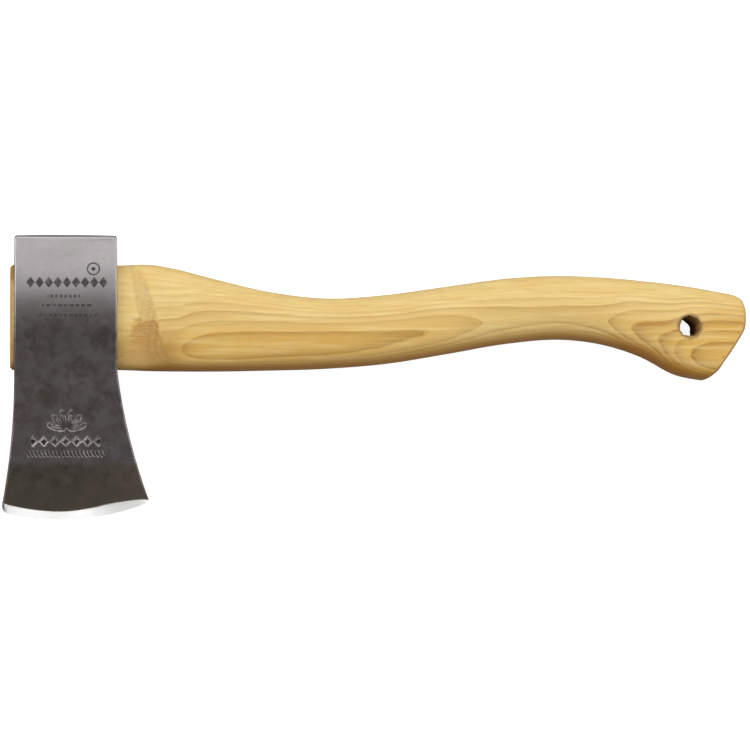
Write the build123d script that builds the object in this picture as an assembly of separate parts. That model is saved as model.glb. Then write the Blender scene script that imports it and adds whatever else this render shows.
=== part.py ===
from build123d import *

import os
from math import copysign, cos, pi, radians, sin, tan

# A one-hand carving hatchet, lying on its side on a bench. Sizes are in millimetres.
# +X runs from the head to the knob, +Y from the cutting edge to the poll, and +Z up from the bench.
# The pieces are drawn about the eye: X = 0 is the middle of the head, Y = 0 the axis of the eye, and
# Z = 0 the plane that halves the hatchet. The last step stands them on the bench, with the origin
# under the middle.

# Head: one forging
HEAD_WIDTH = 51.0  # along the haft, from the poll down to the waist
POLL_HEIGHT = 40.6  # eye axis to the poll's face
EDGE_DEPTH = 101.1  # eye axis to the deepest point of the cutting edge
POLL_THICKNESS = 21.0
CHEEK_THICKNESS = 25.0  # beside the eye, the thickest place
THROAT_THICKNESS = 12.4  # halfway from the eye to the ground faces, where the cheeks are hollow
GRIND_THICKNESS = 7.6  # where the ground faces begin
BLADE_THICKNESS = 2.0  # where the ground faces would end, past the honed bevel
GRIND_DEPTH = 72.5  # eye axis to where the ground faces begin
POLL_CORNER = 2.0  # radius of the four edges round the poll's face

TOE_WAIST = 29.0  # eye axis to where the side away from the hand begins to flare
TOE_FLARE_RADIUS = 350.0
HEEL_WAIST = 27.5  # the same on the side towards the hand
HEEL_FLARE_RADIUS = 290.0
HEEL_FLARE_ANGLE = 7.2  # degrees, the turn at the waist where the flare starts
EDGE_RADIUS = 125.0  # of the cutting edge, seen from the side
EDGE_SHIFT = 2.9  # how far the deepest point of the edge lies towards the toe
EDGE_HALF_ANGLE = 18.0  # degrees, of the honed bevel
EDGE_LAND = 0.2  # thickness left at the very edge
TOE_CORNER = 4.0  # radius of the edge's corner away from the hand
HEEL_CORNER = 1.2

# Eye: an oval hole along the haft
EYE_LENGTH = 52.2  # at the haft's side of the head
EYE_WIDTH = 15.8
EYE_GROWTH = 0.9  # added to both at the far side, so that the spread tenon can't pull out
OVAL_POWER = 2.6  # 2 is an ellipse, and more is fuller

# Haft: one stick of wood
KNOB_THICKNESS = 23.8
HAFT_LENGTH = 321.0  # head to the end of the knob
# Each station is a cross-section of the grip:
# (share of the haft's length, height of the back above the eye axis, depth of the belly, thickness)
GRIP_STATIONS = (
    (0.0, 26.4, 26.5, 22.6),
    (0.053, 26.5, 27.0, 23.4),
    (0.093, 24.4, 27.1, 23.5),
    (0.14, 20.6, 27.2, 23.6),
    (0.237, 13.3, 26.8, 23.2),
    (0.33, 9.9, 25.9, 22.8),
    (0.427, 11.9, 23.3, 22.2),
    (0.523, 16.3, 18.3, 21.8),
    (0.617, 20.4, 13.1, 21.6),
    (0.713, 21.9, 11.2, 21.6),
    (0.785, 20.9, 14.5, 22.0),
    (0.838, 19.3, 20.4, 22.6),
    (0.888, 17.6, 29.0, 23.4),
    (0.935, 15.3, 32.0, KNOB_THICKNESS),
    (1.03, 9.3, 32.6, KNOB_THICKNESS),
)
SECTION_POWER = 2.3
BELLY_FULLNESS = 0.08  # how much thicker the belly half is than the back half
KNOB_CUT_DEPTH = 2.0  # eye axis to where the knob's end turns from square to slanted
KNOB_CUT_ANGLE = 55.4  # degrees between the slanted end and the haft's line
KNOB_BEND_RADIUS = 12.0
KNOB_EDGE_RADIUS = 2.6

# Neck: the flat-sided stretch between the head and the shoulder
NECK_STEP = 0.6  # how far the neck's flats stand out past the eye, so that they stop on the head
NECK_LENGTH = 9.0
SHOULDER_ANGLE = 21.0  # degrees, how steeply the sides open to the full grip
SHOULDER_LEAN = 10.0  # degrees, how the shoulder leans away from the head towards the belly

# Tenon: the end of the stick that fills the eye
TENON_PROUD = 2.2  # how far it stands out of the head
TENON_CHAMFER = 1.2
TENON_CLEARANCE = 0.02

# Hanging hole through the knob
HOLE_RADIUS = 5.2
HOLE_FROM_END = 30.0
HOLE_BELOW_AXIS = 5.2
HOLE_COUNTERSINK = 1.6  # how far the softened mouths widen the hole

# Wooden wedge in the tenon's saw cut, and the steel ring that is driven across it
WEDGE_LENGTH = 38.0
WEDGE_HEAD_THICKNESS = 5.2
WEDGE_TIP_THICKNESS = 1.6
SAW_CUT_RELIEF = 5.0  # how far the saw cut runs past the wedge's tip
RING_RADIUS = 4.8
RING_WALL = 1.1
RING_LENGTH = 15.0
RING_SUNK = 0.4  # below the end of the tenon

HEAD_HALF = HEAD_WIDTH / 2
TENON_END = -HEAD_HALF - TENON_PROUD
HAFT_END = HEAD_HALF + HAFT_LENGTH
SECTION_POINTS = 16
SEAM_TURN = pi / 4  # where each oval starts, clear of the saw cut and of the flats of the neck
REACH = 90.0  # more than any half-width, for tools that pass right through


def signed_power(value, exponent):
    return copysign(abs(value) ** exponent, value)


def oval(x, top, bottom, thickness, exponent, fullness=0.0):
    """A closed oval in the plane X = x, from Y = top down to Y = -bottom."""
    middle = (top - bottom) / 2
    half_height = (top + bottom) / 2
    points = []
    for i in range(SECTION_POINTS):
        turn = SEAM_TURN + 2 * pi * i / SECTION_POINTS
        up = signed_power(cos(turn), 2 / exponent)
        out = signed_power(sin(turn), 2 / exponent) * (1 - fullness * up)
        points.append((x, middle + half_height * up, thickness / 2 * out))
    return make_face(Spline(*points, periodic=True))


def eye_solid(start, end, clearance=0.0):
    """The space of the eye from X = start to X = end, smaller all round by the clearance."""
    sections = []
    for x in (start, end):
        growth = EYE_GROWTH * (HEAD_HALF - x) / HEAD_WIDTH - 2 * clearance
        half_length = (EYE_LENGTH + growth) / 2
        sections.append(oval(x, half_length, half_length, EYE_WIDTH + growth, OVAL_POWER))
    return loft(sections)


def circle_point(centre, radius, y, side):
    """The point of a circle at the height y, on its left (-1) or right (1)."""
    across = (radius**2 - (y - centre[1]) ** 2) ** 0.5
    return (centre[0] + side * across, y)


def flared_side(centre, radius, waist_depth, side):
    """The curved side of the head, from its waist to past the cutting edge."""
    depths = (waist_depth, (waist_depth + EDGE_DEPTH) / 2, EDGE_DEPTH)
    return ThreePointArc(*[circle_point(centre, radius, -depth, side) for depth in depths])


def head_outline():
    """The head seen from the side, with its rounded corners and its curved edge."""
    turn = radians(HEEL_FLARE_ANGLE)
    heel_x = HEAD_HALF + HEEL_FLARE_RADIUS * cos(turn)
    heel_y = HEEL_FLARE_RADIUS * sin(turn) - HEEL_WAIST
    heel = flared_side((heel_x, heel_y), HEEL_FLARE_RADIUS, HEEL_WAIST, -1)
    toe_centre = (-HEAD_HALF - TOE_FLARE_RADIUS, -TOE_WAIST)
    toe = flared_side(toe_centre, TOE_FLARE_RADIUS, TOE_WAIST, 1)
    poll = Polyline(heel @ 0, (HEAD_HALF, POLL_HEIGHT), (-HEAD_HALF, POLL_HEIGHT), toe @ 0)
    blank = make_face([poll, heel, toe, Line(heel @ 1, toe @ 1)])
    outline = blank & Pos(-EDGE_SHIFT, EDGE_RADIUS - EDGE_DEPTH) * Circle(EDGE_RADIUS)
    outline = fillet(outline.vertices().sort_by(Axis.Y)[-2:], POLL_CORNER)
    toe_corner, heel_corner = outline.vertices().sort_by(Axis.Y)[:2].sort_by(Axis.X)
    outline = fillet(heel_corner, HEEL_CORNER)
    toe_corner = outline.vertices().sort_by_distance(Vertex(*toe_corner))[0]
    return fillet(toe_corner, TOE_CORNER)


def head_profile():
    """The head seen along the haft: full beside the eye, hollow below it, straight to the edge."""
    eye_end = EYE_LENGTH / 2
    past_edge = EDGE_DEPTH + EDGE_LAND
    cheek = (
        (POLL_HEIGHT, POLL_THICKNESS / 2),
        (eye_end / 2, CHEEK_THICKNESS / 2),
        (-eye_end / 2, CHEEK_THICKNESS / 2),
        (-(eye_end + GRIND_DEPTH) / 2, THROAT_THICKNESS / 2),
        (-GRIND_DEPTH, GRIND_THICKNESS / 2),
    )
    near = Spline(*[(0, y, z) for y, z in cheek])
    far = Spline(*[(0, y, -z) for y, z in cheek])
    tip = Polyline(
        near @ 1,
        (0, -past_edge, BLADE_THICKNESS / 2),
        (0, -past_edge, -BLADE_THICKNESS / 2),
        far @ 1,
    )
    profile = make_face([near, tip, far, Line(far @ 0, near @ 0)])
    return fillet(profile.vertices().sort_by(Axis.Y)[-2:], POLL_CORNER)


def bevel_cone():
    """A flat double cone whose faces are the honed bevels. Its rim lies just past the edge's land."""
    slope = tan(radians(EDGE_HALF_ANGLE))
    rim = EDGE_RADIUS + EDGE_LAND / 2 / slope
    half_section = Polyline((0, 0, rim * slope), (rim, 0, 0), (0, 0, -rim * slope), close=True)
    cone = revolve(make_face(half_section), Axis.Z)
    return Pos(-EDGE_SHIFT, EDGE_RADIUS - EDGE_DEPTH, 0) * cone


def axe_head():
    outline = extrude(head_outline(), REACH, both=True)
    profile = extrude(head_profile(), REACH, both=True)
    return (outline & profile & bevel_cone()) - eye_solid(-REACH, REACH)


def grip():
    """The full-thickness stick, from the head to past the end of the knob."""
    sections = []
    for share, back, belly, thickness in GRIP_STATIONS:
        x = HEAD_HALF + share * HAFT_LENGTH
        sections.append(oval(x, back, belly, thickness, SECTION_POWER, BELLY_FULLNESS))
    return loft(sections)


def neck_envelope():
    """Flat-sided at the head, opening past the shoulder. It is skewed, so the shoulder leans."""
    half = EYE_WIDTH / 2 + NECK_STEP
    start = HEAD_HALF + NECK_LENGTH
    end = HAFT_END + REACH
    opened = half + (end - start) * tan(radians(SHOULDER_ANGLE))
    half_plan = [(HEAD_HALF, half), (start, half), (end, opened)]
    plan = [(x, 0, z) for x, z in half_plan] + [(x, 0, -z) for x, z in reversed(half_plan)]
    lean = (-sin(radians(SHOULDER_LEAN)), cos(radians(SHOULDER_LEAN)), 0)
    return extrude(make_face(Polyline(*plan, close=True)), REACH, dir=lean, both=True)


def knob_envelope():
    """All of the haft up to the knob's end, which is square at the back and slanted at the belly."""
    cut_back = (REACH - KNOB_CUT_DEPTH) / tan(radians(KNOB_CUT_ANGLE))
    slant_end = (HAFT_END - cut_back, -REACH)
    bend = (HAFT_END, -KNOB_CUT_DEPTH)
    far_end = FilletPolyline((HAFT_END, REACH), bend, slant_end, radius=KNOB_BEND_RADIUS)
    rest = Polyline(slant_end, (-REACH, -REACH), (-REACH, REACH), (HAFT_END, REACH))
    return extrude(make_face([far_end, rest]), REACH, both=True)


def tenon():
    """The oval end of the stick, chamfered where it stands out of the head."""
    blank = eye_solid(TENON_END, HEAD_HALF + NECK_LENGTH, TENON_CLEARANCE)
    end_rim = blank.faces().sort_by(Axis.X)[0].edges()
    return chamfer(end_rim, TENON_CHAMFER)


def wedge_blank(length):
    """A flat taper as wide as the eye is long, from the end of the tenon to its tip."""
    head, tip = WEDGE_HEAD_THICKNESS / 2, WEDGE_TIP_THICKNESS / 2
    tip_x = TENON_END + WEDGE_LENGTH
    plan = [(TENON_END, 0, head), (tip_x, 0, tip)]
    if length > WEDGE_LENGTH:
        plan.append((TENON_END + length, 0, tip))
    plan += [(x, y, -z) for x, y, z in reversed(plan)]
    return extrude(make_face(Polyline(*plan, close=True)), REACH, dir=(0, 1, 0), both=True)


def steel_wedge():
    """A steel ring with a chamfered leading edge, sunk into the end of the tenon."""
    start = TENON_END + RING_SUNK
    outer, inner = RING_RADIUS, RING_RADIUS - RING_WALL
    section = Polyline(
        (start, inner),
        (start, outer),
        (start + RING_LENGTH - RING_WALL, outer),
        (start + RING_LENGTH, inner + RING_WALL / 4),
        (start + RING_LENGTH, inner),
        close=True,
    )
    return revolve(make_face(section), Axis.X)


def ring_pocket():
    """The space that the steel ring takes up, with its mouth at the end of the tenon."""
    mouth_ring = Circle(RING_RADIUS) - Circle(RING_RADIUS - RING_WALL)
    mouth = extrude(Plane.YZ.offset(TENON_END) * mouth_ring, RING_SUNK)
    return steel_wedge() + mouth


def hanging_hole():
    """The hole through the knob, with a countersink at each side for soft edges."""
    bore = extrude(Circle(HOLE_RADIUS), REACH, both=True)
    mouth_depth = KNOB_THICKNESS / 2 - HOLE_COUNTERSINK
    mouth = Cone(HOLE_RADIUS, HOLE_RADIUS + 2 * HOLE_COUNTERSINK, 2 * HOLE_COUNTERSINK)
    mouth = Pos(0, 0, mouth_depth + HOLE_COUNTERSINK) * mouth
    tool = bore + mouth + mirror(mouth, about=Plane.XY)
    return Pos(HAFT_END - HOLE_FROM_END, -HOLE_BELOW_AXIS, 0) * tool


def handle():
    stick = grip() & neck_envelope() & knob_envelope()
    # The knob's end is a square face, a bend and a slanted face. Its rim is rounded.
    end_faces = stick.faces().sort_by(Axis.X)[-3:]
    end_edges = [edge for face in end_faces for edge in face.edges()]
    rim = [edge for edge in end_edges if sum(edge.is_same(other) for other in end_edges) == 1]
    stick = fillet(rim, KNOB_EDGE_RADIUS) + tenon()
    saw_cut = wedge_blank(WEDGE_LENGTH + SAW_CUT_RELIEF)
    return stick - saw_cut - ring_pocket() - hanging_hole()


def wood_wedge():
    return (wedge_blank(WEDGE_LENGTH) & tenon()) - ring_pocket()


def on_the_bench(pieces):
    """The pieces moved so that the origin is under the middle of the hatchet, on the bench."""
    box = Compound(list(pieces.values())).bounding_box()
    origin = Vector(box.center().X, box.center().Y, box.min.Z)
    return {name: Pos(-origin) * solid for name, solid in pieces.items()}


pieces = on_the_bench(
    {
        "axe_head": axe_head(),
        "handle": handle(),
        "wood_wedge": wood_wedge(),
        "steel_wedge": steel_wedge(),
    }
)

os.makedirs("parts", exist_ok=True)
for name, solid in pieces.items():
    box = solid.bounding_box()
    print(name, round(solid.volume), solid.is_valid, box.min, box.max)
    export_step(solid, f"parts/{name}.step")
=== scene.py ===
# %% [markdown]
# # A carving hatchet
# The hatchet lies on its side. +X runs from the head to the knob, +Y from the cutting edge to the poll,
# and +Z is up. The design model is loaded first as a fixed frame: it gives every place and size, and the
# pieces made here are finer versions of its solids, at the same places.

# %% Load the frame
from math import cos, pi, radians, sin, tan

import bmesh
import bpy
import numpy as np
from mathutils import Matrix, Vector, noise


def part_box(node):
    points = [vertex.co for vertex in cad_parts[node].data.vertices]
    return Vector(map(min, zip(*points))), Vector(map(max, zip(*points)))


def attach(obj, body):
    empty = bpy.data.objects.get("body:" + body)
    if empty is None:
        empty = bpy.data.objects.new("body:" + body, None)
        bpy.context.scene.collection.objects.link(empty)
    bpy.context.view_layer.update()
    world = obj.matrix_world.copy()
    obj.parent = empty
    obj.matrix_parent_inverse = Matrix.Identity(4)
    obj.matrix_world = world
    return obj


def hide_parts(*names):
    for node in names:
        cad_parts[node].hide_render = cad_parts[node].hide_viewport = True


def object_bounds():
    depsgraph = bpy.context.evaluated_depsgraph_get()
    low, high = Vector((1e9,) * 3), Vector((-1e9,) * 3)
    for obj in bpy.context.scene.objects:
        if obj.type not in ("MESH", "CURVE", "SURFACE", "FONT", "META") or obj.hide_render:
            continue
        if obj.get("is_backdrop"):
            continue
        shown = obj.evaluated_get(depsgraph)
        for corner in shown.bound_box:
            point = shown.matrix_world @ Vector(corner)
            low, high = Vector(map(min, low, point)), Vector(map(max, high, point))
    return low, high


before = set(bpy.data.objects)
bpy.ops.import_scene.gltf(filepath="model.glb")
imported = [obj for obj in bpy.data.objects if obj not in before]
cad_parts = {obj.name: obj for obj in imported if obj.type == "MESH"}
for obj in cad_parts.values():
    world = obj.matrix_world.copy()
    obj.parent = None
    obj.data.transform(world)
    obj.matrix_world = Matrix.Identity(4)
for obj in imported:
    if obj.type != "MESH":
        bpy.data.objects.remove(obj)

DESIGN_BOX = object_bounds()
MM = 0.001
HEAD_LOW, HEAD_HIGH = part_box("axe_head")
HAFT_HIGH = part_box("handle")[1]
RING_LOW, RING_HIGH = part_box("steel_wedge")
print("hatchet", [round(v / MM, 1) for v in DESIGN_BOX[1] - DESIGN_BOX[0]], "mm")

# %% [markdown]
# ## Places that every piece shares
# Both big pieces are drawn about the eye, the oval hole in the head. Its axis runs along the haft, through
# the middle of the steel ring, and halfway across the head. Working from this one point keeps the head, the
# haft and the wedges in line with each other.

# %% The middle of the eye
HEAD_WIDTH = 51.0 * MM
HAFT_LENGTH = 321.0 * MM
EYE_AXIS = (RING_LOW + RING_HIGH) / 2
HAFT_START = HAFT_HIGH.x - HAFT_LENGTH
EYE = Vector((HAFT_START - HEAD_WIDTH / 2, EYE_AXIS.y, EYE_AXIS.z))
print("middle of the eye", [round(v / MM, 2) for v in EYE])

# %% [markdown]
# ## Camera
# The hatchet is seen from above, from a point over the head and a little below the cutting edge, so the
# hole in the knob is seen at a slant. An object that is turned with a "look at" rule can roll when it looks
# nearly straight down, so the camera's three axes are written out instead.

# %% Place the camera
CAMERA_PLACE = EYE + Vector((0.0173, -0.1606, 1.287))
CAMERA_AIM = EYE + Vector((0.1557, -0.0291, 0.0))
CAMERA_ROLL = 0.0114
SPAN_SHOWN = 0.38063  # width of the view at the hatchet


def look_rotation(place, aim, up):
    """The rotation of a camera at place that looks at aim, with up towards the top of the view."""
    back = (place - aim).normalized()
    right = up.cross(back).normalized()
    return Matrix((right, back.cross(right), back)).transposed()


camera = bpy.data.objects.new("camera", bpy.data.cameras.new("camera"))
bpy.context.scene.collection.objects.link(camera)
camera.location = CAMERA_PLACE
top_of_view = Vector((sin(CAMERA_ROLL), cos(CAMERA_ROLL), 0))
camera.rotation_euler = look_rotation(CAMERA_PLACE, CAMERA_AIM, top_of_view).to_euler()
camera.data.lens = camera.data.sensor_width * (CAMERA_PLACE - CAMERA_AIM).length / SPAN_SHOWN
bpy.context.scene.camera = camera
print("lens", round(camera.data.lens, 1), "mm")

# %% [markdown]
# ## Sums written as sums
# A node tree can work out a shape or a pattern, but a formula of thirty nodes is hard to read when every
# node is made by hand. `Wire` stands for the value on a node's output and knows + - * / and the common
# functions, so a formula in a geometry or a shader tree reads as it would on paper.

# %% A value on a wire
class Wire:
    """A number that comes out of a node, in a geometry or a shader tree."""

    def __init__(self, tree, socket):
        self.tree = tree
        self.socket = socket

    def math(self, operation, *others):
        node = self.tree.nodes.new("ShaderNodeMath")
        node.operation = operation
        for slot, value in zip(node.inputs, (self, *others)):
            plug(self.tree, slot, value)
        return Wire(self.tree, node.outputs[0])

    def __add__(self, other):
        return self.math("ADD", other)

    def __sub__(self, other):
        return self.math("SUBTRACT", other)

    def __mul__(self, other):
        return self.math("MULTIPLY", other)

    def __truediv__(self, other):
        return self.math("DIVIDE", other)

    def __neg__(self):
        return self.math("MULTIPLY", -1.0)

    def __pow__(self, other):
        return self.math("POWER", other)

    __radd__ = __add__
    __rmul__ = __mul__

    def __rsub__(self, other):
        return (-self) + other

    def __rtruediv__(self, other):
        return (self ** -1.0) * other

    def abs(self):
        return self.math("ABSOLUTE")

    def sign(self):
        return self.math("SIGN")

    def low(self, other):
        return self.math("MINIMUM", other)

    def high(self, other):
        return self.math("MAXIMUM", other)

    def below(self, other):
        return self.math("LESS_THAN", other)


def plug(tree, slot, value):
    """Joins a wire or a socket to an input, or sets the input to a plain value."""
    if isinstance(value, Wire):
        value = value.socket
    if isinstance(value, bpy.types.NodeSocket):
        tree.links.new(value, slot)
    else:
        slot.default_value = value


def add_node(tree, kind, settings=None, **inputs):
    """A new node, with its settings and its inputs. An input's name has _ for each space."""
    node = tree.nodes.new(kind)
    for name, value in (settings or {}).items():
        setattr(node, name, value)
    for name, value in inputs.items():
        plug(tree, node.inputs[name.replace("_", " ")], value)
    return node


# %% [markdown]
# ### Drawn curves
# Hand-made lines follow no formula. A few points are set down, and a smooth curve goes through them,
# as a batten bends round a boatbuilder's nails. The same curve is needed twice: on plain numbers for the
# head's grid, and inside a node tree for the haft and the grain. So one function works it out, and a second
# one copies its values into a curve node.

# %% Smooth curves through points
CURVE_POINTS = 60


def smooth_line(value, points):
    """A smooth curve through (input, output) points, read at plain values. It stays level past its ends."""
    inputs, outputs = np.array(sorted(points), float).T
    slopes = np.gradient(outputs, inputs)
    k = np.clip(np.searchsorted(inputs, value) - 1, 0, len(inputs) - 2)
    span = inputs[k + 1] - inputs[k]
    t = np.clip((value - inputs[k]) / span, 0, 1)
    start = outputs[k] * (1 + 2 * t) * (1 - t) ** 2 + slopes[k] * span * t * (1 - t) ** 2
    return start + outputs[k + 1] * (3 - 2 * t) * t**2 + slopes[k + 1] * span * (t - 1) * t**2


def drawn_curve(tree, value, points):
    """A smooth curve through (input, output) points, read at a wire's value."""
    inputs = np.linspace(points[0][0], points[-1][0], CURVE_POINTS).tolist()
    outputs = smooth_line(np.array(inputs), points).tolist()
    in_low, in_span = inputs[0], inputs[-1] - inputs[0]
    out_low, out_span = min(outputs), max(outputs) - min(outputs)
    node = add_node(tree, "ShaderNodeFloatCurve", Value=(value - in_low) / in_span)
    line = node.mapping.curves[0]
    for _ in inputs[2:]:
        line.points.new(0.5, 0.5)
    for point, x, y in zip(line.points, inputs, outputs):
        point.location = ((x - in_low) / in_span, (y - out_low) / out_span)
    node.mapping.update()
    return Wire(tree, node.outputs[0]) * out_span + out_low


halfway_down = float(smooth_line(2, ((0, 0), (1, 1), (3, 0))))
print("a curve through (0, 0), (1, 1) and (3, 0) is at", round(halfway_down, 2), "when the input is 2")

# %% [markdown]
# ## Haft: the rule that shapes it
# A haft is a stick whose cross-section is an oval everywhere, while its height, thickness and fullness
# change along the way. It could be sculpted by hand, but then a change of length would mean sculpting
# again. Here the back line, the belly line, the thickness and the fullness are four drawn curves, and
# Geometry Nodes sweep the oval along them. The same tree makes the tenon, the flat-sided neck with its
# leaning shoulder and the slanted end of the knob.

# %% The haft's lines
# (share of the haft's length, height of the back above the eye axis, depth of the belly, thickness),
# in mm
GRIP_STATIONS = (
    (0.0, 26.2, 26.4, 22.6),
    (0.053, 26.5, 27.0, 23.4),
    (0.093, 24.4, 27.1, 23.5),
    (0.14, 20.6, 27.2, 23.6),
    (0.237, 13.3, 26.8, 23.2),
    (0.33, 9.9, 25.9, 22.8),
    (0.427, 11.9, 23.3, 22.2),
    (0.523, 16.3, 18.3, 21.8),
    (0.617, 20.4, 13.1, 21.6),
    (0.713, 21.9, 11.1, 21.6),
    (0.785, 20.9, 14.5, 22.0),
    (0.838, 19.3, 20.4, 22.6),
    (0.888, 17.6, 28.9, 23.4),
    (0.935, 15.3, 32.0, 23.8),
    (1.03, 9.3, 32.6, 23.8),
)
# How square the oval is: 2 is an ellipse. The stick is fuller at the head and at the knob.
FULLNESS = ((0, 3.2), (30, 3.0), (90, 2.3), (230, 2.25), (290, 2.6), (330, 2.8))
# How far the knob's end is set back from the tip, at a height above the eye axis, in mm
END_SETBACK = (
    (-34, 24.9), (-32, 20.1), (-29, 16.1), (-22.5, 11.3), (-13.3, 4.9), (-6, 0.7),
    (-2, 0.0), (6, 0.0), (10.3, 1.2), (12.4, 3.6), (15, 9.0),
)
# How much the sections lean with the shoulder, at a distance from the head, in mm
LEAN_SHARE = ((0, 0.0), (7, 1.0), (27, 1.0), (60, 0.0))


def in_metres(points):
    return [tuple(v * MM for v in point) for point in points]


def lines_of_the_haft():
    """The back, belly and thickness as lists of (distance, value), in metres."""
    return [[(row[0] * HAFT_LENGTH, row[k] * MM) for row in GRIP_STATIONS] for k in (1, 2, 3)]


least_depth = min(back + belly for _, back, belly, _ in GRIP_STATIONS)
print("haft", round(HAFT_LENGTH / MM), "mm long,", round(least_depth, 1), "mm deep where it is slimmest")

# %% [markdown]
# ### Tenon, neck and knob
# The tenon fills the eye, so it takes the eye's oval, and it gets wider away from the haft, because the
# wedges spread it. Next to the head the neck is flat on both sides, and the shoulder slopes up from those
# flats to the full grip. The knob's end is slanted, and its edge is rounded. The rail lists where each ring
# of the sweep goes: close together where the shape changes quickly, and further apart along the grip.

# %% The tenon, the neck, the knob and the rail
EYE_LENGTH = 52.16 * MM
EYE_WIDTH = 15.76 * MM
EYE_GROWTH = 0.9 / 51  # how fast the eye widens away from the haft
EYE_POWER = 2.6
TENON_PROUD = 2.2 * MM
TENON_CHAMFER = 1.2 * MM
BELLY_FULLNESS = 0.08
NECK_HALF = 8.5 * MM
NECK_LENGTH = 10.4 * MM
SHOULDER_SLOPE = tan(radians(19))
SHOULDER_LEAN = tan(radians(10))
KNOB_REGION = 75 * MM
KNOB_EDGE = 2.6 * MM
KNOB_EDGE_STEPS = 8
# A ring inset by this much has closed up to a line.
TENON_HALF = 8.4 * MM
KNOB_HALF = 11.9 * MM
# Where the rail's spacing changes, as a distance from the head
SHOULDER_END = 40 * MM
GRIP_END = 280 * MM


def spaced(start, end, step):
    """Places from start to just before end, about a step apart."""
    count = max(1, round((end - start) / step))
    return [start + (end - start) * i / count for i in range(count)]


def haft_rail():
    """(distance from the head, inset) of each ring, from the tenon's end to the knob's end."""
    tenon_end = -HEAD_WIDTH - TENON_PROUD
    rail = [(tenon_end, inset) for inset in spaced(TENON_HALF, TENON_CHAMFER, 1.2 * MM)]
    rail += [(tenon_end, TENON_CHAMFER), (tenon_end + TENON_CHAMFER, 0)]
    rail += [(x, 0) for x in spaced(tenon_end + TENON_CHAMFER, 0, 6 * MM)[1:]]
    rail += [(-0.01 * MM, 0)]  # the grip starts in a step, so two rings are almost in one place
    rail += [(x, 0) for x in spaced(0, SHOULDER_END, 0.6 * MM)]
    rail += [(x, 0) for x in spaced(SHOULDER_END, GRIP_END, 1.2 * MM)]
    rail += [(x, 0) for x in spaced(GRIP_END, HAFT_LENGTH - KNOB_EDGE, 0.8 * MM)]
    for i in range(KNOB_EDGE_STEPS + 1):
        turn = i / KNOB_EDGE_STEPS * pi / 2
        rail.append((HAFT_LENGTH - KNOB_EDGE * (1 - sin(turn)), KNOB_EDGE * (1 - cos(turn))))
    rail += [(HAFT_LENGTH, inset) for inset in spaced(KNOB_EDGE, KNOB_HALF, 0.9 * MM)[1:] + [KNOB_HALF]]
    return rail


print("rail", len(haft_rail()), "rings")

# %% [markdown]
# ### The sweep
# The rail is a chain of points: how far along each ring is, and how much smaller than the full section. A
# circle is swept along it, which only makes the rings of faces. Then every point is put where the formula
# says. A ring near the knob's end isn't square to the stick: its place along the stick depends on the
# height, and the height depends on the place, so the two are worked out in turn three times, which is
# enough for them to agree.

# %% Parts of a geometry tree
def new_tree(name, inputs):
    """A geometry node tree with its named inputs: {name: (socket type, value)}."""
    tree = bpy.data.node_groups.new(name, "GeometryNodeTree")
    tree.interface.new_socket("Geometry", in_out="INPUT", socket_type="NodeSocketGeometry")
    tree.interface.new_socket("Geometry", in_out="OUTPUT", socket_type="NodeSocketGeometry")
    for label, (kind, value) in inputs.items():
        socket = tree.interface.new_socket(label, in_out="INPUT", socket_type=kind)
        if value is not None:
            socket.default_value = value
    return tree, tree.nodes.new("NodeGroupInput"), tree.nodes.new("NodeGroupOutput")


def captured(tree, geometry, value):
    """A value remembered on the points of a geometry: the new geometry, and the value as a wire."""
    node = tree.nodes.new("GeometryNodeCaptureAttribute")
    node.capture_items.new("FLOAT", "Value")
    tree.links.new(geometry, node.inputs[0])
    tree.links.new(value, node.inputs[1])
    return node.outputs[0], Wire(tree, node.outputs[1])


def oval_part(wave, power):
    """The sine or cosine of an oval that gets squarer as the power rises."""
    return wave.sign() * wave.abs() ** (2.0 / power)


# %% Build the sweep as a node tree
POINTS_AROUND = 88
HAND_UNEVENNESS = 0.12 * MM  # a shaved stick is never quite true
NECK_BLEND = 0.45 * MM
SEAM = 0.002 * MM  # points closer than this are one point


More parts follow.
